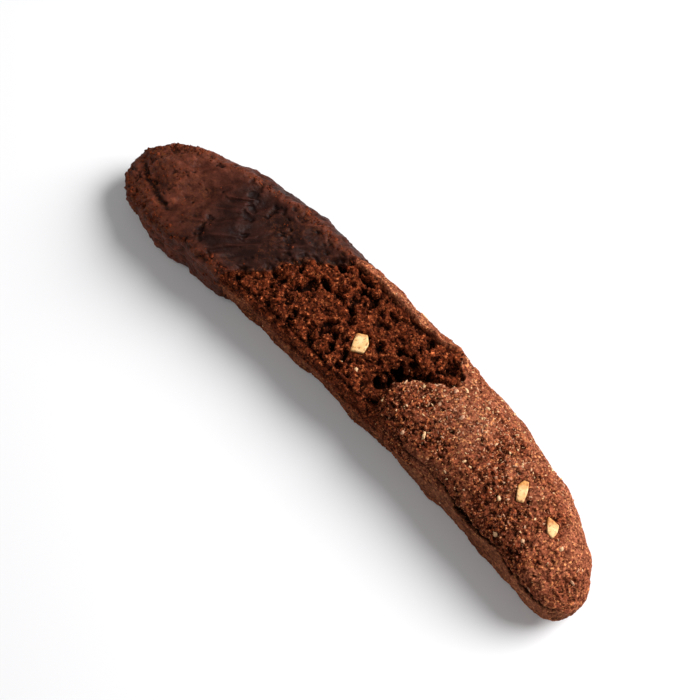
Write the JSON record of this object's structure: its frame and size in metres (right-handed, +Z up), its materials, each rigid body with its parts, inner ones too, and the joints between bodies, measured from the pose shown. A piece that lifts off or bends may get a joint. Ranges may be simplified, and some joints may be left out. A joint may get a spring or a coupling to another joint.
{
  "type": "biscotto",
  "caption": "Whole chocolate biscotto, a long twice-baked slice with a porous cut face, a broken crust lip, chopped nuts and one end dipped in chocolate",
  "frame": {"origin": "middle of the footprint on the plane the slice rests on", "axes": "+X runs along the slice from the chocolate-dipped end to the plain end, +Y from the loaf's flat bottom crust to its domed top crust, +Z up out of the cut face"},
  "size_m": [0.1512, 0.0334, 0.0174],
  "materials": {
    "baked_dough": "rough baked cocoa dough, matt",
    "dark_chocolate": "satin set chocolate",
    "chopped_nut": "matt ivory with browned faces"
  },
  "bodies": {
    "root": {"biscuit": "baked_dough", "chocolate_dip": "dark_chocolate", "nut_top_1": "chopped_nut", "nut_top_2": "chopped_nut", "nut_top_3": "chopped_nut", "nut_under_1": "chopped_nut", "nut_under_2": "chopped_nut", "nut_under_3": "chopped_nut", "nut_under_4": "chopped_nut", "nut_dome_1": "chopped_nut", "nut_dome_2": "chopped_nut"}
  },
  "joints": []
}
